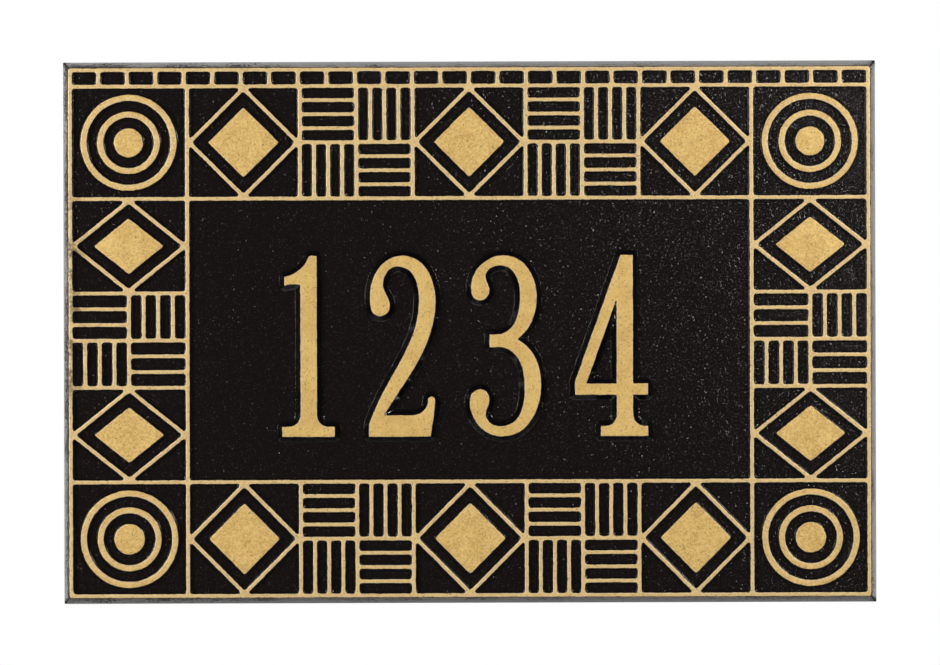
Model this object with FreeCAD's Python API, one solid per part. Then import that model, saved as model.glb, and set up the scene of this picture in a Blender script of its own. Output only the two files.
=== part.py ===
import FreeCAD, Part
import math
import os
from FreeCAD import Vector

os.makedirs("parts", exist_ok=True)

# House number plaque, one aluminium casting, in millimetres.
# X runs along the width and Z up. The front faces -Y. The origin is the centre of the back, on the wall.

# Plate
plate_width = 400.0  # across the back
plate_height = 266.7  # up the back
plate_depth = 9.5  # wall to the tops of the raised lines
back_land = 1.0  # square edge next to the wall
side_inset = 3.5  # how far each sloping side has come in at the front
back_corner = 0.5  # blunt corner at the wall
front_corner = 1.2  # blunt corner at the front

# Relief
relief_height = 1.8  # pocket floor to line top
wall_run = 0.35  # lean of a pocket wall over its height
corner_cut = 0.85  # blunt end of every pocket corner
line_width = 2.2  # raised lines
cell_width = 5.25  # narrow pockets between the lines

# Number field
field_width = 274.0
field_height = 136.5
field_drop = 3.7  # centre of the field below the centre of the plate

# Border
panel_width = 53.0  # about, above and below the field
panel_height = 44.0  # about, beside the field
slot_width = 4.9  # about, in the basket weave
dash_height = 5.9  # extra row along the top edge
dash_length = 11.7  # about
roundel_margin = 2.7  # round the outer ring of a corner block
ring_width = 3.3
ring_gap = 4.9  # between the rings, and round the middle disc
least_disc = 5.0  # smallest radius of the middle disc

# Numerals
numeral_height = 88.9
numeral_rise = 3.0  # field ground to the numeral tops
numeral_flank = 2.6  # run of the sloping side round a numeral
numeral_gap = 16.4  # between neighbours
numeral_drop = 6.75  # centre of the numerals below the centre of the plate
numeral_shift = 2.3  # centre of the numerals left of the centre of the plate

# Hollow back and fixing bosses
skin = 4.0  # metal behind the pocket floors
rim_width = 4.5  # solid edge round the hollow
hollow_corner = 12.0
hollow_run = 0.4  # lean of the hollow's walls over their height
boss_radius = 7.0  # half way down
boss_run = 0.5  # lean of a boss over half its height
boss_spacing_x = 300.0
boss_spacing_z = 170.0
tap_radius = 2.1
tap_depth = 5.4

ground_y = -(plate_depth - relief_height)
top_y = -plate_depth
front_x = plate_width / 2 - side_inset
front_z = plate_height / 2 - side_inset
clear = 0.6  # how far the cutting shapes stand out of the metal


def rectangle(x0, z0, x1, z1):
    """Corners of an upright rectangle, counter-clockwise."""
    return [(x0, z0), (x1, z0), (x1, z1), (x0, z1)]


def grown(corners, amount):
    """The polygon with every side moved outwards, or inwards when the amount is negative."""
    moved = []
    for i, corner in enumerate(corners):
        before = corners[i - 1]
        after = corners[(i + 1) % len(corners)]
        a = Vector(corner[0] - before[0], corner[1] - before[1], 0).normalize()
        b = Vector(after[0] - corner[0], after[1] - corner[1], 0).normalize()
        reach = amount / (1 + a.dot(b))
        moved.append((corner[0] + (a.y + b.y) * reach, corner[1] - (a.x + b.x) * reach))
    return moved


def blunted(corners, width):
    """The polygon with each corner cut off so that the new short side has the given width."""
    cut = []
    for i, corner in enumerate(corners):
        here = Vector(corner[0], corner[1], 0)
        back = (Vector(corners[i - 1][0], corners[i - 1][1], 0) - here).normalize()
        after = corners[(i + 1) % len(corners)]
        ahead = (Vector(after[0], after[1], 0) - here).normalize()
        length = width / (2 * math.sin(back.getAngle(ahead) / 2))
        for side in (back, ahead):
            point = here + side * length
            cut.append((point.x, point.y))
    return cut


def flat_face(points):
    """Flat face with straight sides between the points."""
    return Part.Face(Part.makePolygon(points + points[:1]))


def closed_solid(faces):
    """Solid inside a closed set of faces."""
    shell = Part.makeShell(faces)
    shell.sewShape()
    block = Part.Solid(shell)
    if block.Volume < 0:
        block.reverse()
    return block


def prism(corners_a, y_a, corners_b, y_b):
    """Solid with flat sides between two outlines whose sides are parallel in pairs."""
    a = [Vector(x, y_a, z) for x, z in corners_a]
    b = [Vector(x, y_b, z) for x, z in corners_b]
    sides = [flat_face([a[i - 1], a[i], b[i], b[i - 1]]) for i in range(len(a))]
    return closed_solid([flat_face(a), flat_face(b)] + sides)


def pocket(corners):
    """Cutting shape of a pocket, from its mouth outline at the line tops. It narrows to the floor."""
    mouth = blunted(corners, corner_cut)
    above = wall_run * clear / relief_height
    return prism(grown(mouth, -wall_run), ground_y, grown(mouth, above), top_y - clear)


def island(corners):
    """Metal left standing in a pocket, wider at its foot than at the line tops."""
    outline = blunted(corners, corner_cut)
    lean = wall_run / relief_height
    foot = grown(outline, wall_run + lean * clear)
    tip = grown(outline, -lean * 2 * clear)
    return prism(foot, ground_y + clear, tip, top_y - 2 * clear)


def round_island(x, z, radius):
    """Round metal left standing in a pocket."""
    lean = wall_run / relief_height
    height = relief_height + 3 * clear
    foot = radius + wall_run + lean * clear
    start = Vector(x, ground_y + clear, z)
    return Part.makeCone(foot, foot - lean * height, height, start, Vector(0, -1, 0))


def round_pocket(x, z, radius):
    """Cutting shape of a round pocket with its mouth radius at the line tops."""
    lean = wall_run / relief_height
    height = relief_height + 2 * clear
    floor = radius - wall_run
    return Part.makeCone(floor, floor + lean * height, height, Vector(x, ground_y, z), Vector(0, -1, 0))


def spread(start, end, wanted):
    """Ends of equal spaces of about the wanted width, with a line between neighbours."""
    count = max(1, round((end - start + line_width) / (wanted + line_width)))
    width = (end - start - (count - 1) * line_width) / count
    starts = [start + i * (width + line_width) for i in range(count)]
    return [(low, low + width) for low in starts]


def halves(start, end):
    """Ends of two equal spaces with a line between them."""
    return spread(start, end, (end - start - line_width) / 2)


def slots(x0, z0, x1, z1, width, upright):
    """A block of equal pockets side by side with lines between them."""
    if upright:
        return [pocket(rectangle(low, z0, high, z1)) for low, high in spread(x0, x1, width)]
    return [pocket(rectangle(x0, low, x1, high)) for low, high in spread(z0, z1, width)]


def weave_panel(x0, z0, x1, z1):
    """Basket weave: four blocks of parallel slots, every other one turned."""
    cut = []
    for column, (left, right) in enumerate(halves(x0, x1)):
        for row, (low, high) in enumerate(halves(z0, z1)):
            cut += slots(left, low, right, high, slot_width, (column + row) % 2 == 0)
    return cut


def diamond_panel(x0, z0, x1, z1):
    """Diamond in a square: a pocket in each corner and one round a solid diamond."""
    half_x = (x1 - x0) / 2
    half_z = (z1 - z0) / 2
    middle_x = (x0 + x1) / 2
    middle_z = (z0 + z1) / 2
    across = half_x * half_z / math.hypot(half_x, half_z)

    def diamond(inset):
        a = half_x * (1 - inset / across)
        b = half_z * (1 - inset / across)
        return [(middle_x + x, middle_z + z) for x, z in ((a, 0), (0, b), (-a, 0), (0, -b))]

    legs = 1 - line_width / 2 / across
    cut = [pocket(diamond(line_width / 2)).cut(island(diamond(line_width / 2 + cell_width)))]
    for side_x, side_z in ((1, 1), (-1, 1), (-1, -1), (1, -1)):
        corner = (middle_x + side_x * half_x, middle_z + side_z * half_z)
        along = (corner[0] - side_x * half_x * legs, corner[1])
        down = (corner[0], corner[1] - side_z * half_z * legs)
        outline = [corner, along, down] if side_x * side_z > 0 else [corner, down, along]
        cut.append(pocket(outline))
    return cut


def roundel_panel(x0, z0, x1, z1):
    """Bull's-eye: a square pocket with raised rings and a disc."""
    x = (x0 + x1) / 2
    z = (z0 + z1) / 2
    cut = pocket(rectangle(x0, z0, x1, z1))
    radius = min(x1 - x0, z1 - z0) / 2 - roundel_margin
    while radius > ring_width + ring_gap + least_disc:
        cut = cut.cut(round_island(x, z, radius).cut(round_pocket(x, z, radius - ring_width)))
        radius -= ring_width + ring_gap
    return [cut.cut(round_island(x, z, radius))]


def border_pockets():
    """All pockets round the number field."""
    outer_x = front_x - line_width
    outer_z = front_z - line_width
    inner_x = field_width / 2
    field_top = field_height / 2 - field_drop
    field_bottom = -field_height / 2 - field_drop
    band_top = outer_z - dash_height - line_width
    cut = slots(-outer_x, band_top + line_width, outer_x, outer_z, dash_length, True)
    for z0, z1 in ((-outer_z, field_bottom - line_width), (field_top + line_width, band_top)):
        cut += roundel_panel(-outer_x, z0, -inner_x - line_width, z1)
        cut += roundel_panel(inner_x + line_width, z0, outer_x, z1)
        for i, (x0, x1) in enumerate(spread(-inner_x, inner_x, panel_width)):
            cut += weave_panel(x0, z0, x1, z1) if i % 2 else diamond_panel(x0, z0, x1, z1)
    for x0, x1 in ((-outer_x, -inner_x - line_width), (inner_x + line_width, outer_x)):
        for i, (z0, z1) in enumerate(spread(field_bottom, field_top, panel_height)):
            cut += weave_panel(x0, z0, x1, z1) if i % 2 else diamond_panel(x0, z0, x1, z1)
    return cut


def plate():
    """Blank with a square land at the wall and sloping sides up to the front face."""
    back = rectangle(-plate_width / 2, -plate_height / 2, plate_width / 2, plate_height / 2)
    back = blunted(back, back_corner)
    front = blunted(rectangle(-front_x, -front_z, front_x, front_z), front_corner)
    return prism(back, 0, back, -back_land).fuse(prism(back, -back_land, front, top_y))


def hollow():
    """Cutting shape of the hollow back, with four bosses left standing."""
    depth = plate_depth - relief_height - skin
    half_x = plate_width / 2 - rim_width
    half_z = plate_height / 2 - rim_width
    mouth = blunted(rectangle(-half_x, -half_z, half_x, half_z), hollow_corner)
    room = prism(grown(mouth, hollow_run / depth * clear), clear, grown(mouth, -hollow_run), -depth)
    height = depth + 2 * clear
    for x in (-boss_spacing_x / 2, boss_spacing_x / 2):
        for z in (-boss_spacing_z / 2, boss_spacing_z / 2):
            boss = Part.makeCone(boss_radius - boss_run, boss_radius + boss_run, height,
                                 Vector(x, clear, z), Vector(0, -1, 0))
            room = room.cut(boss)
    return room


def tapped_holes():
    """Blind holes for the wall studs, one in each boss."""
    return [
        Part.makeCylinder(tap_radius, tap_depth + clear, Vector(x, clear, z), Vector(0, -1, 0))
        for x in (-boss_spacing_x / 2, boss_spacing_x / 2)
        for z in (-boss_spacing_z / 2, boss_spacing_z / 2)
    ]


# A numeral is drawn in millimetres at this height, counter-clockwise, and scaled to the wanted one.
# It is a list of runs: two points make a straight side, three an arc and more a smooth curve.
drawn_height = 88.9


def numeral_one():
    return 26, [
        [(0, 0), (26, 0)],
        [(26, 0), (26, 5.3)],
        [(26, 5.3), (22.8, 5.3)],
        [(22.8, 5.3), (18.9, 6.9), (17.3, 10.8)],
        [(17.3, 10.8), (17.3, 88.9)],
        [(17.3, 88.9), (13.4, 88.9)],
        [(13.4, 88.9), (8.8, 82.2), (1.2, 78.6)],
        [(1.2, 78.6), (1.2, 73.8)],
        [(1.2, 73.8), (5, 74.6), (9, 74.2)],
        [(9, 74.2), (9, 10.8)],
        [(9, 10.8), (7.4, 6.9), (3.5, 5.3)],
        [(3.5, 5.3), (0, 5.3)],
        [(0, 5.3), (0, 0)],
    ]


def numeral_two():
    return 33, [
        [(0, 0), (30.4, 0)],
        [(30.4, 0), (31.8, 9), (32.7, 18.2)],
        [(32.7, 18.2), (30.9, 19.9), (28.9, 18.4)],
        [(28.9, 18.4), (26.8, 12.9), (21.6, 10.8)],
        [(21.6, 10.8), (7.7, 10.8)],
        [(7.7, 10.8), (18, 26.5), (27, 42), (31.4, 54), (33, 65), (31.2, 77), (25.6, 85.6), (17, 88.9),
         (8, 85.8), (2.2, 77.5), (0.7, 66), (2.3, 60.4), (6, 58.9), (9.6, 60.9), (10.6, 65), (9.2, 68.9),
         (7.6, 72.6), (8, 78.2), (10.6, 82), (14.8, 83.2), (20.4, 80.8), (23.8, 74.3), (24.6, 65.1),
         (22.8, 54), (17.4, 40.8), (8.6, 25), (3, 13.6), (0, 6)],
        [(0, 6), (0, 0)],
    ]


def numeral_three():
    return 35, [
        [(23.6, 47.6), (30.2, 55.4), (33, 67), (31, 78.5), (25.2, 86.1), (16.8, 88.9), (8.4, 86.4),
         (2.4, 79.8), (0.7, 72), (2.2, 67.6), (5.4, 66.5), (8.8, 68.2), (9.9, 72), (8.9, 75.4), (8, 78.6),
         (10, 82), (14.8, 83.6), (20.4, 81.6), (23.8, 75.8), (24.6, 67.4), (23.2, 58.4), (19, 52.2),
         (12.6, 50.2)],
        [(12.6, 50.2), (9.7, 50.2)],
        [(9.7, 50.2), (9.7, 43.6)],
        [(9.7, 43.6), (12.6, 43.6)],
        [(12.6, 43.6), (19.6, 42.2), (24.8, 36), (26.7, 26), (25.8, 14.6), (21.8, 7.6), (15.6, 5.3),
         (10, 7), (8, 10.8), (8.9, 14.4), (9.8, 18), (8.4, 22), (5, 23.4), (1.6, 21.9), (0, 17.6),
         (1.6, 9.6), (7, 2.8), (15.5, 0), (25, 2.6), (32, 11), (35.1, 26), (31.8, 39.6), (23.6, 47.6)],
    ]


def numeral_four():
    return 36, [
        [(0, 20.2), (20.4, 20.2)],
        [(20.4, 20.2), (20.4, 10.8)],
        [(20.4, 10.8), (18.8, 6.9), (14.9, 5.3)],
        [(14.9, 5.3), (12.6, 5.3)],
        [(12.6, 5.3), (12.6, 0)],
        [(12.6, 0), (36, 0)],
        [(36, 0), (36, 5.3)],
        [(36, 5.3), (34.2, 5.3)],
        [(34.2, 5.3), (30.3, 6.9), (28.7, 10.8)],
        [(28.7, 10.8), (28.7, 20.2)],
        [(28.7, 20.2), (36, 20.2)],
        [(36, 20.2), (36, 26)],
        [(36, 26), (28.7, 26)],
        [(28.7, 26), (28.7, 88.9)],
        [(28.7, 88.9), (22.4, 88.9)],
        [(22.4, 88.9), (0, 26.8)],
        [(0, 26.8), (0, 20.2)],
    ]


def counter_of_four():
    return [
        [(5.9, 26), (20.4, 66.4)],
        [(20.4, 66.4), (20.4, 26)],
        [(20.4, 26), (5.9, 26)],
    ]


def curve_through(points):
    """Straight edge between two points, an arc through three, or a smooth curve through more."""
    if len(points) == 2:
        return Part.LineSegment(points[0], points[1])
    if len(points) == 3:
        return Part.Arc(points[0], points[1], points[2])
    curve = Part.BSplineCurve()
    curve.interpolate(points)
    return curve


def moved_outline(runs, outwards):
    """Edges of an outline whose sides are moved outwards, one edge from each point to the next."""
    curves = [curve_through(run) for run in runs]
    headings = []
    for curve, run in zip(curves, runs):
        headings.append([curve.tangent(curve.parameter(point))[0] for point in run])
    edges = []
    for i, run in enumerate(runs):
        points = []
        for k, point in enumerate(run):
            a = headings[i][k] if k else headings[i - 1][-1]
            b = headings[i][k] if k < len(run) - 1 else headings[(i + 1) % len(runs)][0]
            reach = outwards / (1 + a.dot(b))
            points.append(point + Vector(a.z + b.z, 0, -a.x - b.x) * reach)
        curve = curve_through(points)
        stops = [curve.parameter(point) for point in points]
        edges += [curve.toShape(start, end) for start, end in zip(stops, stops[1:])]
    return edges


def sloping_block(runs, scale, x, z, foot_y, tip_y, flank):
    """Solid between an outline at the tip and the same outline moved outwards at the foot."""
    def placed(y):
        return [[Vector(x + a * scale, y, z + b * scale) for a, b in run] for run in runs]

    tip = moved_outline(placed(tip_y), 0)
    foot = moved_outline(placed(foot_y), flank)
    sides = [Part.makeRuledSurface(foot_edge, tip_edge) for foot_edge, tip_edge in zip(foot, tip)]
    return closed_solid([Part.Face(Part.Wire(foot)), Part.Face(Part.Wire(tip))] + sides)


def numerals():
    """The raised number, with its foot on the field ground."""
    scale = numeral_height / drawn_height
    base = -numeral_drop - numeral_height / 2
    tip_y = ground_y - numeral_rise
    drawn = [numeral_one(), numeral_two(), numeral_three(), numeral_four()]
    total = sum(width for width, runs in drawn) * scale + (len(drawn) - 1) * numeral_gap
    x = -numeral_shift - total / 2
    blocks = []
    for width, runs in drawn:
        blocks.append(sloping_block(runs, scale, x, base, ground_y, tip_y, numeral_flank))
        last_x = x
        x += width * scale + numeral_gap
    counter = sloping_block(counter_of_four(), scale, last_x, base, ground_y, tip_y, numeral_flank)
    blocks[-1] = blocks[-1].cut(counter)
    return blocks


def plaque():
    low = -field_height / 2 - field_drop
    field = pocket(rectangle(-field_width / 2, low, field_width / 2, low + field_height))
    cuts = border_pockets() + [field, hollow()] + tapped_holes()
    body = plate().cut(Part.makeCompound(cuts))
    body = body.fuse(numerals())
    return body.removeSplitter()


shape = plaque()
solid = shape.Solids[0]
print("solids", len(shape.Solids), "valid", solid.isValid(), "faces", len(solid.Faces))
print("volume cm3", round(solid.Volume / 1000, 1), "box", solid.BoundBox)
solid.exportStep("parts/plaque.step")
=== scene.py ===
# %% [markdown]
# # A cast house number plaque
# The plaque is one aluminium casting. Its front has raised lines and raised numerals, painted gold on
# top, and everything lower is black enamel with a pebbled skin. The solid model already has the right
# shape and size, but with straight, sharp edges. This script builds the plaque as it really looks
# around that solid: worn corners, soft edges, slightly wandering lines, and the two paints.

# %% Load the fixed frame
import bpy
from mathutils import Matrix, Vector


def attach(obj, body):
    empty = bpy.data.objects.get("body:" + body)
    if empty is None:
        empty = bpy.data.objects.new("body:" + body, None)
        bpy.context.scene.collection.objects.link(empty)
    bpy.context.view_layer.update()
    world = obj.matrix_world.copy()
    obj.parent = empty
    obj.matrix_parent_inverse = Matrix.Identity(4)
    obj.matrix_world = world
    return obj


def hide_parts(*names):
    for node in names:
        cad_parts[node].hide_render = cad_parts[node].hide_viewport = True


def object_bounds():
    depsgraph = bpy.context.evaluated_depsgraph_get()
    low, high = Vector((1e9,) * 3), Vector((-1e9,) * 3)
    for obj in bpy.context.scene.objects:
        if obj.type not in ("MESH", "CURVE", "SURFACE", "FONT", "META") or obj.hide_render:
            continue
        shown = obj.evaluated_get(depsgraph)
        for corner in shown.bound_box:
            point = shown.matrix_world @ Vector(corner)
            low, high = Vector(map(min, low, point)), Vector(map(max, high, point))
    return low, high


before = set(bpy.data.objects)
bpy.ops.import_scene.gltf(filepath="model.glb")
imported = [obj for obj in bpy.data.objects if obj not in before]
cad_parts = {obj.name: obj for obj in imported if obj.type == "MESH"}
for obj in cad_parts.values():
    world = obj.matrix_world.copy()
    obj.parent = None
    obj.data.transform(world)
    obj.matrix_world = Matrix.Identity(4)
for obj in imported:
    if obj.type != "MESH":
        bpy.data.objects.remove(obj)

cad_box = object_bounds()
print("solid from", [round(x, 4) for x in cad_box[0]], "to", [round(x, 4) for x in cad_box[1]])

# %% [markdown]
# ## Units
# Blender works in metres here. Sizes on the plaque are a few millimetres, so `mm` keeps them readable.

# %% Imports and units
import math
from types import SimpleNamespace

import bmesh
import bpy
import numpy as np
from mathutils import Vector
from mathutils.geometry import delaunay_2d_cdt
from mathutils.kdtree import KDTree

mm = 0.001
tiny = 0.002 * mm

# %% [markdown]
# ## The solid as one joined mesh
# The solid arrives as loose triangles, one set for each flat face. Its own mesh must stay as it is, so
# a copy is taken, and corners that share a place are merged. Then each triangle knows its neighbours.

# %% Copy the solid and join it
def joined_copy(node):
    """Editable copy of a node's mesh with its doubled corners merged."""
    shell = bmesh.new()
    shell.from_mesh(node.data)
    bmesh.ops.remove_doubles(shell, verts=shell.verts, dist=tiny)
    shell.normal_update()
    return shell


shell = joined_copy(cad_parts["plaque"])
print("joined copy:", len(shell.verts), "corners,", len(shell.faces), "triangles")

# %% [markdown]
# ## The three levels of the front
# Seen from the front the casting has three flat levels: the numeral tops, the line tops and the black
# ground. They are read from the solid instead of being typed again, so they can't drift from it.

# %% Find the levels
def is_level(face, level=None):
    """True if the face looks straight to the front, at this level if one is given."""
    flat = face.normal.y < -0.999
    return flat and (level is None or abs(face.verts[0].co.y - level) < tiny)


levels = sorted({round(face.verts[0].co.y, 5) for face in shell.faces if is_level(face)})
numeral_y, line_y, ground_y = levels
print("numeral tops, line tops, ground in mm:", [round(y / mm, 2) for y in levels])

# %% [markdown]
# ## Outlines
# The edge of a flat level is a closed outline. A half edge belongs to it when the face on its other
# side lies at another level. Following these half edges gives every outline once, always with the
# metal on the left, so that the right-hand side points away from the metal.

# %% Follow the edges of a level
def outlines(level):
    """Closed outlines round the metal at this level, as arrays of x and z in millimetres."""
    following = {}
    for face in shell.faces:
        if not is_level(face, level):
            continue
        for loop in face.loops:
            if not is_level(loop.link_loop_radial_next.face, level):
                following[loop.vert] = loop.link_loop_next.vert
    found = []
    while following:
        first, here = following.popitem()
        run = [first]
        while here is not first:
            run.append(here)
            here = following.pop(here)
        found.append(np.array([(corner.co.x / mm, corner.co.z / mm) for corner in run]))
    return found


line_outlines = outlines(line_y)
numeral_outlines = outlines(numeral_y)
print(len(line_outlines), "outlines of lines,", len(numeral_outlines), "of numerals")

# %% [markdown]
# ## Worn corners
# Sand casting rounds every corner. Each outline is walked in small steps, and every point is moved to
# the weighted mean of its neighbours, which rounds corners and leaves straight stretches straight.
# Then points are thinned out: many in the bends and few on the straights, which saves triangles.

# %% Round and thin an outline
fine_step = 0.2


def softened(outline, wear):
    """Fine points of a closed outline, rounded over about the given length in millimetres."""
    ends = np.vstack([outline, outline[:1]])
    along = np.concatenate([[0], np.cumsum(np.linalg.norm(np.diff(ends, axis=0), axis=1))])
    count = max(16, round(along[-1] / fine_step))
    at = np.arange(count) / count * along[-1]
    fine = np.column_stack([np.interp(at, along, ends[:, k]) for k in (0, 1)])
    reach = math.ceil(3 * wear / fine_step)
    offsets = np.arange(-reach, reach + 1)
    weights = np.exp(-0.5 * (offsets * fine_step / wear) ** 2)
    return sum(w * np.roll(fine, k, axis=0) for k, w in zip(offsets, weights)) / weights.sum()


def thinned(fine, longest, turn):
    """Points along a fine outline, and the directions that lead away from the metal there."""
    heading = np.roll(fine, -1, axis=0) - np.roll(fine, 1, axis=0)
    heading /= np.linalg.norm(heading, axis=1)[:, None]
    ahead = np.roll(heading, -1, axis=0)
    turning = np.abs(heading[:, 0] * ahead[:, 1] - heading[:, 1] * ahead[:, 0])
    step = np.linalg.norm(np.roll(fine, -1, axis=0) - fine, axis=1)
    spent = np.concatenate([[0], np.cumsum(step / longest + turning / math.radians(turn))])
    at = np.linspace(0, spent[-1], math.ceil(spent[-1]), endpoint=False)

    def read(values):
        closed = np.vstack([values, values[:1]])
        return np.column_stack([np.interp(at, spent, closed[:, k]) for k in (0, 1)])

    away = read(np.column_stack([heading[:, 1], -heading[:, 0]]))
    return read(fine), away / np.linalg.norm(away, axis=1)[:, None]


# %% [markdown]
# ## The front as one sheet
# Seen from the front nothing overhangs, so the whole front is a sheet of heights over a flat map. Each
# outline becomes a few rings of points: one on the flat top, one just over the rounded edge, one low
# on the wall and one on the ground. Every point also holds how much gold the roller left there, if it
# belongs to a broad gold area, if it is on the smooth flank of a numeral, and if it may wander later.

# %% Collect rings of points
sheet = {name: [] for name in ("map", "y", "edges", "paint", "broad", "flank", "loose")}


def add_points(points, y, paint=0.0, broad=0.0, flank=0.0, loose=1.0):
    """Adds map points at a height, and returns the numbers they got."""
    first = len(sheet["map"])
    sheet["map"].extend((x, z) for x, z in points)
    marks = {"y": y, "paint": paint, "broad": broad, "flank": flank, "loose": loose}
    for name, value in marks.items():
        sheet[name].extend([value] * len(points))
    return list(range(first, first + len(points)))


def add_ring(points, y, **marks):
    """Adds a closed ring whose edges the sheet has to keep."""
    numbers = add_points(points, y, **marks)
    sheet["edges"].extend(zip(numbers, numbers[1:] + numbers[:1]))


# %% [markdown]
# ## Raised lines
# The section of a line's edge: how far out, how deep, and 1 where the roller left gold. The outline of
# the whole front is longer than any pocket, and goes on into the sloping sides. Diamonds and discs are
# islands of metal much wider than a line, and the gold lies thicker on them.

# %% Rings round the lines
relief = (ground_y - line_y) / mm
line_section = (
    (-0.55, 0.0, 1),
    (0.02, 0.13, 0),
    (0.30, relief - 0.50, 0),
    (0.44, relief - 0.06, 0),
    (0.50, relief, 0),
)
frame_section = (
    (-0.60, 0.0, 1),
    (-0.05, 0.10, 0),
    (0.30, 0.66, 0),
    (1.50, 3.30, 0),
)
line_wear = 0.45
frame_wear = 0.45
longest_step = 1.5
turn_step = 22
broad_width = 4

frame_outline = max(line_outlines, key=lambda outline: np.ptp(outline[:, 0]))
front_x, front_z = frame_outline.max(axis=0) * mm


def mean_width(outline):
    """Twice the area over the length round it, which is below zero for a pocket."""
    following = np.roll(outline, -1, axis=0)
    area = 0.5 * (outline[:, 0] * following[:, 1] - outline[:, 1] * following[:, 0]).sum()
    return 2 * area / np.linalg.norm(following - outline, axis=1).sum()


for outline in line_outlines:
    is_frame = outline is frame_outline
    broad = float(not is_frame and mean_width(outline) > broad_width)
    fine = softened(outline, frame_wear if is_frame else line_wear)
    points, away = thinned(fine, longest_step, turn_step)
    for out, depth, paint in frame_section if is_frame else line_section:
        add_ring(points + away * out, line_y + depth * mm, paint=paint, broad=broad)
print("points on the rings of the lines:", len(sheet["map"]))

# %% [markdown]
# ## Numerals
# A numeral has a crisp flat top and a broad smooth flank down to the ground. Rings this far out would
# cross each other in the narrow places, so only three rings at the top are kept as edges. The flank
# is made of free points instead, and a point that came too near another part of the numeral is left
# out. What remains follows the true distance from the numeral, also in its tight corners.

# %% Rings and free points round the numerals
numeral_wear = 0.3
numeral_step = 1.3
numeral_section = ((-0.55, 0.0, 1), (-0.05, 0.10, 0.1), (0.12, 0.38, 0))
flank_section = (
    (0.85, 1.16, 1),
    (1.65, 2.06, 1),
    (2.46, 2.94, 0.4),
    (2.56, 3.00, 0.3),
    (3.60, 3.00, 0),
)

numeral_lines = [softened(outline, numeral_wear) for outline in numeral_outlines]
near = KDTree(sum(len(line) for line in numeral_lines))
for number, (x, z) in enumerate(np.vstack(numeral_lines)):
    near.insert((x, z, 0), number)
near.balance()

for fine in numeral_lines:
    points, away = thinned(fine, numeral_step, turn_step)
    for out, depth, paint in numeral_section:
        add_ring(points + away * out, numeral_y + depth * mm, paint=paint, broad=1, flank=1)
    for out, depth, flank in flank_section:
        moved = points + away * out
        clear = [near.find((x, z, 0))[2] > 0.97 * out for x, z in moved]
        add_points(moved[clear], numeral_y + depth * mm, flank=flank)
print("points with the numerals:", len(sheet["map"]))

# %% [markdown]
# ## The back
# The sides start at a narrow square land next to the wall, and the back is hollow, with four bosses.
# None of it needs rounding, so the solid's own triangles serve there. Everything that looks to the
# front is deleted from the copy, and its open edge is divided so that the new front can meet it.

# %% Keep the back of the solid
def open_edge():
    """Corners of the copy's open edge, in order."""
    edges = [edge for edge in shell.edges if edge.is_boundary]
    edge = edges.pop()
    run = [edge.verts[0], edge.verts[1]]
    while edges:
        edge = next(e for e in run[-1].link_edges if e in edges)
        edges.remove(edge)
        run.append(edge.other_vert(run[-1]))
    return run[:-1]


front_faces = [face for face in shell.faces if face.normal.y < -0.01]
bmesh.ops.delete(shell, geom=front_faces, context="FACES")
for edge in [edge for edge in shell.edges if edge.is_boundary]:
    cuts = round(edge.calc_length() / (longest_step * mm)) - 1
    if cuts > 0:
        bmesh.ops.subdivide_edges(shell, edges=[edge], cuts=cuts)
wall_edge = open_edge()
side_y = wall_edge[0].co.y
add_ring([(corner.co.x / mm, corner.co.z / mm) for corner in wall_edge], side_y, loose=0)
print("open edge:", len(wall_edge), "corners at", round(side_y / mm, 2), "mm")

# %% [markdown]
# ## Fill the sheet
# A constrained Delaunay triangulation joins all points of the flat map into well-shaped triangles and
# keeps every ring edge. Giving each point its height turns the map into the front. The back's
# triangles are added, and corners that meet at the open edge are merged.

# %% Triangulate and close the casting
def filled_sheet():
    """The front's corners, its triangles, and the numbers of the sheet's points they came from."""
    flat = [Vector(point) for point in sheet["map"]]
    made = delaunay_2d_cdt(flat, sheet["edges"], [], 1, 0.0001)
    came_from = [origin[0] if origin else None for origin in made[3]]
    extra = came_from.count(None)
    if extra:
        tree = KDTree(len(flat))
        for number, point in enumerate(flat):
            tree.insert((point.x, point.y, 0), number)
        tree.balance()
        pairs = zip(came_from, made[0])
        came_from = [tree.find((p.x, p.y, 0))[1] if o is None else o for o, p in pairs]
    corners = [(p.x * mm, sheet["y"][o], p.y * mm) for o, p in zip(came_from, made[0])]
    print("sheet:", len(corners), "corners,", len(made[2]), "triangles,", extra, "crossings")
    return corners, made[2], came_from


corners, triangles, came_from = filled_sheet()
shell.verts.index_update()
first_back = len(corners)
corners += [tuple(corner.co) for corner in shell.verts]
triangles += [[first_back + corner.index for corner in face.verts] for face in shell.faces]
back_count = len(shell.verts)
shell.free()

cast_mesh = bpy.data.meshes.new("cast_plaque")
cast_mesh.from_pydata(corners, [], triangles)
for name in ("paint", "broad", "flank", "loose"):
    values = [sheet[name][origin] for origin in came_from] + [0.0] * back_count
    cast_mesh.attributes.new(name, "FLOAT", "POINT").data.foreach_set("value", values)

closing = bmesh.new()
closing.from_mesh(cast_mesh)
bmesh.ops.remove_doubles(closing, verts=closing.verts, dist=tiny)
bmesh.ops.triangulate(closing, faces=closing.faces)
open_edges = sum(1 for edge in closing.edges if not edge.is_manifold)
for face in closing.faces:
    face.smooth = True
closing.to_mesh(cast_mesh)
print("casting:", len(closing.verts), "corners,", len(closing.faces), "triangles")
print("open edges:", open_edges)
closing.free()

cast = bpy.data.objects.new("cast_plaque", cast_mesh)
bpy.context.scene.collection.objects.link(cast)

# %% [markdown]
# ## Shader maths as expressions
# Node trees are easier to read as formulas. `Wire` wraps one output of a node. Adding, subtracting or
# multiplying wires adds Math nodes, and `node` makes any other node: its settings first, then the
# values or wires of its inputs. `ramp` turns a wire into a soft mask, and `colours` mixes two colours
# by a mask. The same class works in shader trees and in Geometry Nodes trees.

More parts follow.
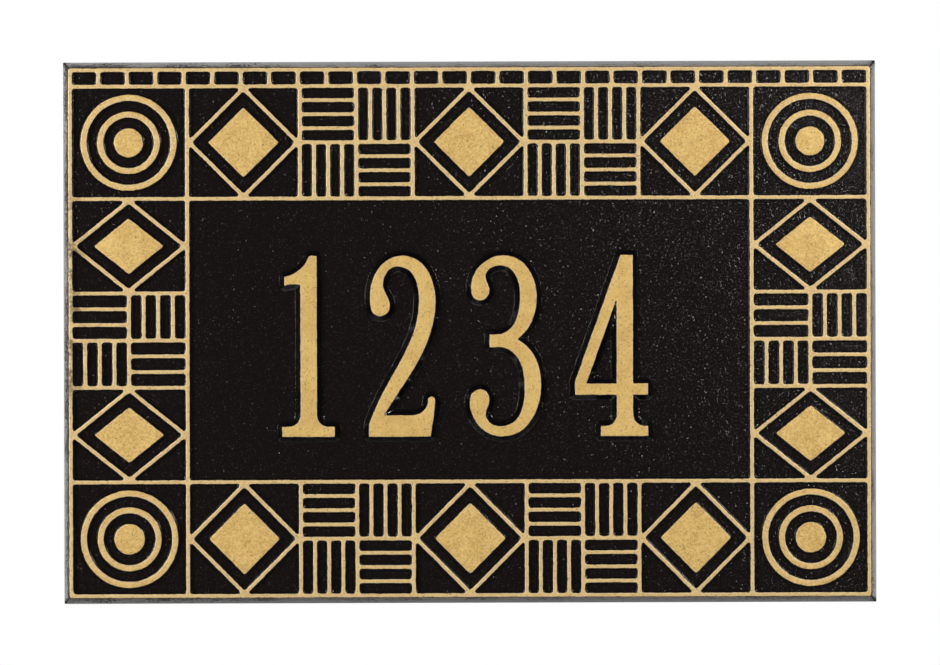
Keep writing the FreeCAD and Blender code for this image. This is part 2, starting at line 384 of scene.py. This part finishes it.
# %% A small class for node trees
class Wire:
    """One output of a node, with sums, differences, products and the like as Math nodes."""

    def __init__(self, tree, socket=None):
        self.tree = tree
        self.socket = socket

    def node(self, kind, settings=None, inputs=None, output=0):
        made = self.tree.nodes.new(kind)
        for name, value in (settings or {}).items():
            setattr(made, name, value)
        for name, value in (inputs or {}).items():
            if isinstance(value, Wire):
                self.tree.links.new(value.socket, made.inputs[name])
            else:
                made.inputs[name].default_value = value
        return Wire(self.tree, made.outputs[output])

    def math(self, operation, first, second):
        return self.node("ShaderNodeMath", {"operation": operation}, {0: first, 1: second})

    def __add__(self, other):
        return self.math("ADD", self, other)

    def __sub__(self, other):
        return self.math("SUBTRACT", self, other)

    def __rsub__(self, other):
        return self.math("SUBTRACT", other, self)

    def __mul__(self, other):
        return self.math("MULTIPLY", self, other)

    def __pow__(self, other):
        return self.math("POWER", self, other)

    def __abs__(self):
        return self.math("ABSOLUTE", self, 0)

    __radd__ = __add__
    __rmul__ = __mul__

    def larger(self, other):
        return self.math("MAXIMUM", self, other)

    def axes(self, names):
        """One wire for each named axis of this vector."""
        parts = self.node("ShaderNodeSeparateXYZ", {}, {"Vector": self})
        return [Wire(self.tree, parts.socket.node.outputs[name]) for name in names]

    def ramp(self, low, high):
        """0 below the low value, 1 above the high one, and smooth between."""
        settings = {"interpolation_type": "SMOOTHSTEP"}
        ends = {"Value": self, "From Min": min(low, high), "From Max": max(low, high)}
        risen = self.node("ShaderNodeMapRange", settings, ends)
        return risen if low < high else 1 - risen

    def colours(self, low, high):
        """The low colour where this wire is 0 and the high one where it is 1."""
        inputs = {0: self, 6: low, 7: high}
        return self.node("ShaderNodeMix", {"data_type": "RGBA"}, inputs, 2)


# %% [markdown]
# ## Wandering lines
# A cast line is never ruler-straight. A Geometry Nodes tree moves each point a little along the front
# by a soft noise, and presses it in a little, so that light plays on the tops. The move is multiplied
# by the "loose" mark, which is 0 at the back, so the plaque keeps its size.

# %% Build the tree that moves the skin
def cast_skin_tree():
    """Geometry Nodes that let loose points wander and dent."""
    tree = bpy.data.node_groups.new("cast_skin", "GeometryNodeTree")
    for name, kind in (
        ("Geometry", "NodeSocketGeometry"),
        ("Wander", "NodeSocketFloat"),
        ("Dent", "NodeSocketFloat"),
        ("Length", "NodeSocketFloat"),
        ("Seed", "NodeSocketFloat"),
        ("Material", "NodeSocketMaterial"),
    ):
        tree.interface.new_socket(name, in_out="INPUT", socket_type=kind)
    tree.interface.new_socket("Geometry", in_out="OUTPUT", socket_type="NodeSocketGeometry")
    given = tree.nodes.new("NodeGroupInput").outputs
    wire = Wire(tree)
    wander, dent = Wire(tree, given["Wander"]), Wire(tree, given["Dent"])
    length, seed = Wire(tree, given["Length"]), Wire(tree, given["Seed"])
    loose = wire.node("GeometryNodeInputNamedAttribute", {"data_type": "FLOAT"}, {"Name": "loose"})
    place = wire.node("GeometryNodeInputPosition")
    noise = wire.node(
        "ShaderNodeTexNoise",
        {"noise_dimensions": "4D"},
        {"Vector": place, "W": seed, "Scale": length ** -1, "Detail": 2.5, "Roughness": 0.75},
        "Color",
    )
    x, y, z = noise.axes("XYZ")
    across = loose * wander * (x - 0.5)
    inwards = loose * dent * y
    up = loose * wander * (z - 0.5)
    move = wire.node("ShaderNodeCombineXYZ", {}, {"X": across, "Y": inwards, "Z": up})
    skin = Wire(tree, given["Geometry"])
    moved = wire.node("GeometryNodeSetPosition", {}, {"Geometry": skin, "Offset": move})
    real = wire.node("GeometryNodeRealizeInstances", {}, {"Geometry": moved})
    finish = {"Geometry": real, "Material": Wire(tree, given["Material"])}
    dressed = wire.node("GeometryNodeSetMaterial", {}, finish)
    tree.links.new(dressed.socket, tree.nodes.new("NodeGroupOutput").inputs[0])
    return tree


def plain_mesh(piece):
    """Turns what the piece's modifiers make into its own mesh, and removes them."""
    seen = piece.evaluated_get(bpy.context.evaluated_depsgraph_get())
    made = bpy.data.meshes.new_from_object(seen)
    piece.modifiers.clear()
    piece.data = made


# %% [markdown]
# ## The two paints
# Gold paint is rolled over the raised parts, so it covers the tops and fades out on the rounded edges.
# Below it the black enamel is pebbled like orange peel. One material holds both, because they meet in
# a ragged border. It reads the place in space and the marks of the sheet. All that varies is noise of
# a size in millimetres, so it keeps its scale on the whole casting. Towards the upper right, where the
# right lamp falls, the skin is rougher, the enamel has more painted glints and the gold painted shade.

# %% What the paints read
def noise(place, size, detail=2.0):
    """Soft noise whose features are about this size."""
    return place.node("ShaderNodeTexNoise", {}, {"Vector": place, "Scale": 1 / size, "Detail": detail})


def painted_places(wire):
    """The wires that several finishes share: place, marks, fine grain, and the upper right, where the right
    lamp falls and painted light is added.
    """
    at = SimpleNamespace(place=wire.node("ShaderNodeTexCoord", output="Object"))
    for name in ("paint", "broad", "flank"):
        setattr(at, name, wire.node("ShaderNodeAttribute", {"attribute_name": name}, output="Fac"))
    at.x, at.z = at.place.axes("XZ")
    at.grain = noise(at.place, 0.8 * mm, 3)
    # 1 towards the upper right, where the right lamp falls: more bump there, more painted glints in the
    # enamel and painted shade in the gold.
    at.uneven = (at.x + at.z * 0.6).ramp(-0.10, 0.28)
    return at


# %% [markdown]
# ## Gold
# The "paint" mark decides between gold and black, roughened by a fine noise so that the border is
# never a clean line. The metal's pits stay open on the line tops and nearly close on the numerals. The
# gold is mottled, brown where it is thin, and tarnished along a stretch of the left edge. A painted
# highlight makes it paler towards its rim and on narrow lines, where rounded edges catch the light, and
# painted shade makes it a little darker towards the upper right, against the right lamp.

# %% Gold paint
light_gold = (0.755, 0.525, 0.180, 1)
deep_gold = (0.545, 0.335, 0.095, 1)
# A painted highlight colour for the rims of the gold and its narrow lines:
highlight_gold = (0.680, 0.525, 0.300, 1)
bare_brown = (0.160, 0.100, 0.036, 1)
tarnish_brown = (0.200, 0.140, 0.060, 1)
tarnish_edge = (-0.186, -0.193)
tarnish_foot = (-0.045, -0.020)
tarnish_head = (0.078, 0.050)


def gold_cover(at):
    """1 where gold covers the casting, 0 where the roller missed it or a pit is open."""
    ragged = noise(at.place, 1.5 * mm, 3)
    rolled = (at.paint + (ragged - 0.5) * 1.5).ramp(0.30, 0.50) * at.paint.ramp(0.0, 0.1)
    pits = noise(at.place, 1.1 * mm, 4).ramp(0.67, 0.73)
    return rolled * (1 - pits * (1 - at.flank * 0.7) * 0.8)


def gold_colour(at):
    """Mottled gold with thin places and tarnish, a painted highlight on its rims and narrow lines, and
    painted shade towards the upper right.
    """
    tone = noise(at.place, 9 * mm, 3).ramp(0.35, 0.65)
    mottle = noise(at.place, 1.0 * mm, 3).ramp(0.36, 0.64)
    # Painted shade: the gold is a little darker towards the upper right, where the right lamp falls.
    shade = tone * 0.35 + (mottle - 0.5) * (1 - at.flank * 0.55) * 0.65 + 0.325 + at.uneven * 0.15
    # Painted highlight: paler gold towards the rim and on narrow lines, where rounded edges catch the light.
    rim_highlight = at.paint.ramp(0.97, 0.60) * 0.4 + (1 - at.broad) * 0.4
    rolled = rim_highlight.colours(shade.colours(light_gold, deep_gold), highlight_gold)
    thin = (at.grain.ramp(0.42, 0.30) * 0.7).larger(at.paint.ramp(0.55, 0.30))
    worn = thin.colours(rolled, bare_brown)
    smudge = noise(at.place, 9 * mm, 4).ramp(0.40, 0.56) * noise(at.place, 1.4 * mm, 3).ramp(0.32, 0.55)
    left_edge = at.x.ramp(*tarnish_edge) * at.z.ramp(*tarnish_foot) * at.z.ramp(*tarnish_head)
    return (left_edge * smudge).colours(worn, tarnish_brown)


# %% [markdown]
# ## Black enamel
# The enamel is nearly black, with a few grey specks on its grain that are painted glints, more of them
# towards the upper right. The flanks of the numerals are smoother, and painted shade makes them blacker.

# %% Black enamel
black = (0.0056, 0.0040, 0.0037, 1)
# A deeper black as painted shade for the flanks, and a grey for painted glints:
flank_shade_black = (0.0024, 0.0018, 0.0018, 1)
glint_grey = (0.046, 0.041, 0.038, 1)


def enamel_colour(at):
    """Black with grey specks as painted glints, and a deeper black as painted shade on the flanks of the
    numerals.
    """
    # Painted glints: grey specks on the grain, more of them towards the upper right.
    painted_glints = (noise(at.place, 0.7 * mm, 3) + at.uneven * at.uneven * 0.08).ramp(0.615, 0.715)
    # Painted shade: a deeper black on the flanks of the numerals.
    return at.flank.colours(painted_glints.colours(black, glint_grey), flank_shade_black)


# %% [markdown]
# ## Sloping sides
# The four sloping sides carry a blotchy grey painted reflection of the bright white behind the plaque,
# with a trace of gold along their upper edge. The painted reflection is palest and most broken towards
# the left, paler along the bottom, and left out along the mitres at the corners, which leaves a dark
# line there. Where it lies, the enamel shines; where it is broken, the surface is dull.

# %% Dust on the sloping sides
# Greys of the painted reflection on the sloping sides, and a haze of gold near their top:
dim_reflection_grey = (0.066, 0.063, 0.059, 1)
pale_reflection_grey = (0.125, 0.120, 0.114, 1)
gold_haze = (0.170, 0.132, 0.092, 1)
blotch_stretch = (1, 0.25, 1)


def painted_side_reflection(at):
    """How much painted reflection the sides hold, how dull they are, and the colour of that reflection."""
    past_x = abs(at.x) - front_x
    past_z = abs(at.z) - front_z
    side = past_x.larger(past_z)
    mitre = 1 - abs(past_x - past_z).ramp(0.35 * mm, 0.80 * mm)
    leftwards = at.x.ramp(0.0, -0.19)
    runs = at.place.node("ShaderNodeVectorMath", {"operation": "MULTIPLY"}, {0: at.place, 1: blotch_stretch})
    mottled = noise(runs, 0.7 * mm, 3) + (noise(at.place, 14 * mm) - 0.5) * 0.4 - leftwards * 0.11
    clean = (side * (1 / mm) * 0.06 + mottled).ramp(0.41, 0.50)
    # Painted reflection: blotchy grey on the sloping sides, left out along the mitres, which stay dark.
    reflection_cover = side.ramp(-0.3 * mm, 0.1 * mm) * (1 - mitre) * (clean * 0.85 + 0.15)
    dull = side.ramp(-0.1 * mm, 0.2 * mm) * mitre.larger(1 - clean)
    # The painted reflection is paler towards the left and along the bottom.
    brighter_reflection = leftwards.larger(at.z.ramp(-0.12, -0.13) * 0.6)
    reflection_grey = brighter_reflection.colours(dim_reflection_grey, pale_reflection_grey)
    return reflection_cover, dull, side.ramp(0.2 * mm, 1.3 * mm).colours(gold_haze, reflection_grey)


# %% [markdown]
# ## Skin
# The skin is bump: fine grain in the gold, soft pebbles and single knobs in the enamel. As geometry it
# would take millions of triangles. A numeral's flank is nearly smooth, and rougher at its foot.

# %% Skin
def skin_height(at, gold):
    """Height of the skin in millimetres."""
    pebbles = noise(at.place, 0.9 * mm, 2.5)
    knobs = noise(at.place, 1.0 * mm, 1).ramp(0.58, 0.80)
    crease = at.flank.ramp(0.02, 0.25) * at.flank.ramp(0.65, 0.4)
    rough_skin = (pebbles * 0.075 + knobs * 0.07) * (1 + at.uneven * 0.9 + crease * 0.3)
    return gold * at.grain * 0.06 + (1 - gold) * (1 - at.flank * 0.8) * rough_skin


# %% [markdown]
# ## The painted casting
# The material mixes the three colours by their masks. The gold is a little metallic and half rough,
# and the enamel is glossy. Where paint ends, a narrow dull rim keeps the edge from sparkling.

# %% Build the material
def painted_casting():
    """Gold over black enamel."""
    material = bpy.data.materials.new("gold_over_black_enamel")
    material.use_nodes = True
    tree = material.node_tree
    tree.nodes.clear()
    wire = Wire(tree)
    at = painted_places(wire)
    gold = gold_cover(at)
    reflection_cover, dull, reflection_colour = painted_side_reflection(at)
    # The sides' painted reflection lies over the enamel.
    lower_colour = reflection_cover.colours(enamel_colour(at), reflection_colour)
    colour = gold.colours(lower_colour, gold_colour(at))
    relief_inputs = {"Height": skin_height(at, gold), "Strength": 1.0, "Distance": mm}
    bump = wire.node("ShaderNodeBump", {}, relief_inputs)
    dulled = gold.larger(at.paint.ramp(0.0, 0.08))
    roughness = 0.15 + dulled * 0.33 + (1 - dulled) * dull * 0.85
    finish = {"Base Color": colour, "Metallic": gold * 0.25, "Roughness": roughness, "Normal": bump}
    surface = wire.node("ShaderNodeBsdfPrincipled", {}, finish)
    out = tree.nodes.new("ShaderNodeOutputMaterial")
    tree.links.new(surface.socket, out.inputs["Surface"])
    return material


# %% [markdown]
# ## Dress the casting
# The modifier's inputs are set by their identifiers before anything is evaluated. Then its result is
# made a plain mesh. Weighted normals keep the wide flat tops flat and let only the narrow rounded
# edges bend the light.

# %% Move the skin and set the normals
def set_input(modifier, name, value):
    """Sets one named input of a Geometry Nodes modifier."""
    socket = modifier.node_group.interface.items_tree[name]
    modifier[socket.identifier] = value


skin = cast.modifiers.new("cast_skin", "NODES")
skin.node_group = cast_skin_tree()
skin_values = {"Wander": 0.7 * mm, "Dent": 0.10 * mm, "Length": 4.0 * mm, "Seed": 4.0}
for name, value in skin_values.items():
    set_input(skin, name, value)
set_input(skin, "Material", painted_casting())
weighted = cast.modifiers.new("weighted", "WEIGHTED_NORMAL")
weighted.mode = "FACE_AREA"
weighted.weight = 60
plain_mesh(cast)
cast.data.name = "cast_plaque"
print("finished casting:", len(cast.data.polygons), "triangles")

# %% [markdown]
# ## A flat map
# The paint follows the place in space, so it needs no flat map. Turning the finish into images needs
# one, and a good map keeps the edges of the gold crisp. The front holds all the detail and fills the
# upper two thirds of the square, seen straight on. The back lies below it at half the size, and beside
# it the upright walls lie as eight bands: four directions, each inside and outside.

# %% Lay out the flat map
margin = 0.002
band_height = 0.04


def read_all(items, name, width, kind=float):
    """One property of all the corners or faces, as rows of an array."""
    values = np.empty(len(items) * width, dtype=kind)
    items.foreach_get(name, values)
    return values.reshape(-1, width)


def lay_out(mesh, low, high):
    """Adds a flat map to a mesh of triangles that fills the box between two corners."""
    corner = read_all(mesh.loops, "vertex_index", 1, int).ravel()
    place = read_all(mesh.vertices, "co", 3)[corner]
    facing = np.repeat(read_all(mesh.polygons, "normal", 3), 3, axis=0)
    x, y, z = ((place - np.array(low)) / (high[0] - low[0])).T
    front = facing[:, 1] < -0.02
    back = facing[:, 1] > 0.3
    along_x = np.abs(facing[:, 2]) > np.abs(facing[:, 0])
    outwards = (facing * place)[:, (0, 2)].sum(axis=1) > 0
    positive = np.where(along_x, facing[:, 2], facing[:, 0]) > 0
    band = along_x * 4 + outwards * 2 + positive
    full, half = 1 - 2 * margin, 0.5 - 2 * margin
    across = np.select([front, back], [margin + full * x, margin + half * x],
                       0.5 + margin + half * np.where(along_x, x, z))
    upwards = np.select([front, back], [1 - margin - full * (z.max() - z), margin + half * z],
                        margin + band_height * band + y)
    layer = mesh.uv_layers.new(name="OFBake")
    layer.data.foreach_set("uv", np.column_stack([across, upwards]).ravel())
    print("flat map from", [round(float(v.min()), 3) for v in (across, upwards)],
          "to", [round(float(v.max()), 3) for v in (across, upwards)])


lay_out(cast.data, *cad_box)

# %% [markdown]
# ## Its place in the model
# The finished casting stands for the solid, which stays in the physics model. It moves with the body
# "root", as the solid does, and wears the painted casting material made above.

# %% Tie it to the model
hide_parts("plaque")
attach(cast, "root")

# %% [markdown]
# ## Floor
# The plaque hangs on a wall, so nothing touches the floor. A plain pale floor lies well below it,
# outside the front view, and lights the lower edge a little less than the white behind does. Only the
# camera sees its extra glow, so that it looks pale from every side without lighting the plaque more.

# %% Floor
floor_half_width = 3.0
floor_front, floor_rear = -4.0, 2.6
floor_height = -1.4
floor_paint = (0.9, 0.9, 0.9, 1)
floor_glow = (0.55, 0.55, 0.55, 1)
no_glow = (0, 0, 0, 1)

floor_corners = [
    (-floor_half_width, floor_front, floor_height),
    (floor_half_width, floor_front, floor_height),
    (floor_half_width, floor_rear, floor_height),
    (-floor_half_width, floor_rear, floor_height),
]
floor_mesh = bpy.data.meshes.new("floor")
floor_mesh.from_pydata(floor_corners, [], [(0, 1, 2, 3)])
floor = bpy.data.objects.new("floor", floor_mesh)
bpy.context.scene.collection.objects.link(floor)


def pale_floor():
    """Matt pale paint that glows for the camera alone."""
    material = bpy.data.materials.new("pale_floor")
    material.use_nodes = True
    tree = material.node_tree
    surface = tree.nodes["Principled BSDF"]
    surface.inputs["Base Color"].default_value = floor_paint
    surface.inputs["Roughness"].default_value = 0.8
    surface.inputs["Emission Strength"].default_value = 1
    ray = Wire(tree).node("ShaderNodeLightPath", output="Is Camera Ray")
    glow = ray.colours(no_glow, floor_glow)
    tree.links.new(glow.socket, surface.inputs["Emission Color"])
    return material


floor.data.materials.append(pale_floor())

# %% [markdown]
# ## Light
# The flat black front mirrors darkness, and the sloping sides mirror a bright white background. So
# the world is bright behind the plaque, most of all above, and dim before it, while the camera always
# sees white. Nothing stands there: the world alone makes that light.

# %% World
def white_behind(dim, middle, upwards):
    """World that is dim in front, and as bright as given behind, with more of it towards the top."""
    world = bpy.data.worlds.new("studio")
    world.use_nodes = True
    tree = world.node_tree
    tree.nodes.clear()
    wire = Wire(tree)
    ray = wire.node("ShaderNodeLightPath", output="Is Camera Ray")
    direction = wire.node("ShaderNodeTexCoord", output="Generated")
    backwards, up = direction.axes("YZ")
    strength = dim + (middle + upwards * up) * backwards.ramp(0.25, 0.60)
    seen = ray.larger(strength)
    glow = wire.node("ShaderNodeBackground", {}, {"Color": (1, 1, 1, 1), "Strength": seen})
    out = tree.nodes.new("ShaderNodeOutputWorld")
    tree.links.new(glow.socket, out.inputs["Surface"])
    return world


bpy.context.scene.world = white_behind(dim=0.04, middle=0.82, upwards=0.12)

# %% [markdown]
# Two soft lamps stand well to the sides, so that neither is mirrored in the flat front. The right one
# is nearer to the front, because the enamel sparkles more on that side.

# %% Lamps
def soft_lamp(name, place, size, power):
    """Square lamp that looks at the middle of the plaque."""
    data = bpy.data.lights.new(name, "AREA")
    data.size = size
    data.energy = power
    lamp = bpy.data.objects.new(name, data)
    lamp.location = place
    lamp.rotation_euler = (-Vector(place)).to_track_quat("-Z", "Y").to_euler()
    bpy.context.scene.collection.objects.link(lamp)


soft_lamp("right_lamp", place=(0.95, -1.1, 0.45), size=0.30, power=16)
soft_lamp("left_lamp", place=(-1.4, -1.05, 0.3), size=0.7, power=29)

# %% [markdown]
# ## Camera
# The photograph shows the plaque straight on. Its back edge and its front edge differ in size by what
# the depth of the casting explains, which gives the distance. The small shift and roll are its own.

# %% Camera
photo_width = 940
pixels_per_metre = 2569.5  # at one metre from the lens
camera_distance = 1.267
camera_x, camera_z = 0.15 * mm, -0.19 * mm
camera_roll = math.radians(0.17)

camera_data = bpy.data.cameras.new("camera")
camera_data.sensor_width = 36
camera_data.lens = pixels_per_metre * camera_data.sensor_width / photo_width
camera = bpy.data.objects.new("camera", camera_data)
camera.location = (camera_x, -camera_distance, camera_z)
camera.rotation_euler = (math.pi / 2, camera_roll, 0)
bpy.context.scene.collection.objects.link(camera)
bpy.context.scene.camera = camera
bpy.context.scene.view_settings.view_transform = "Standard"
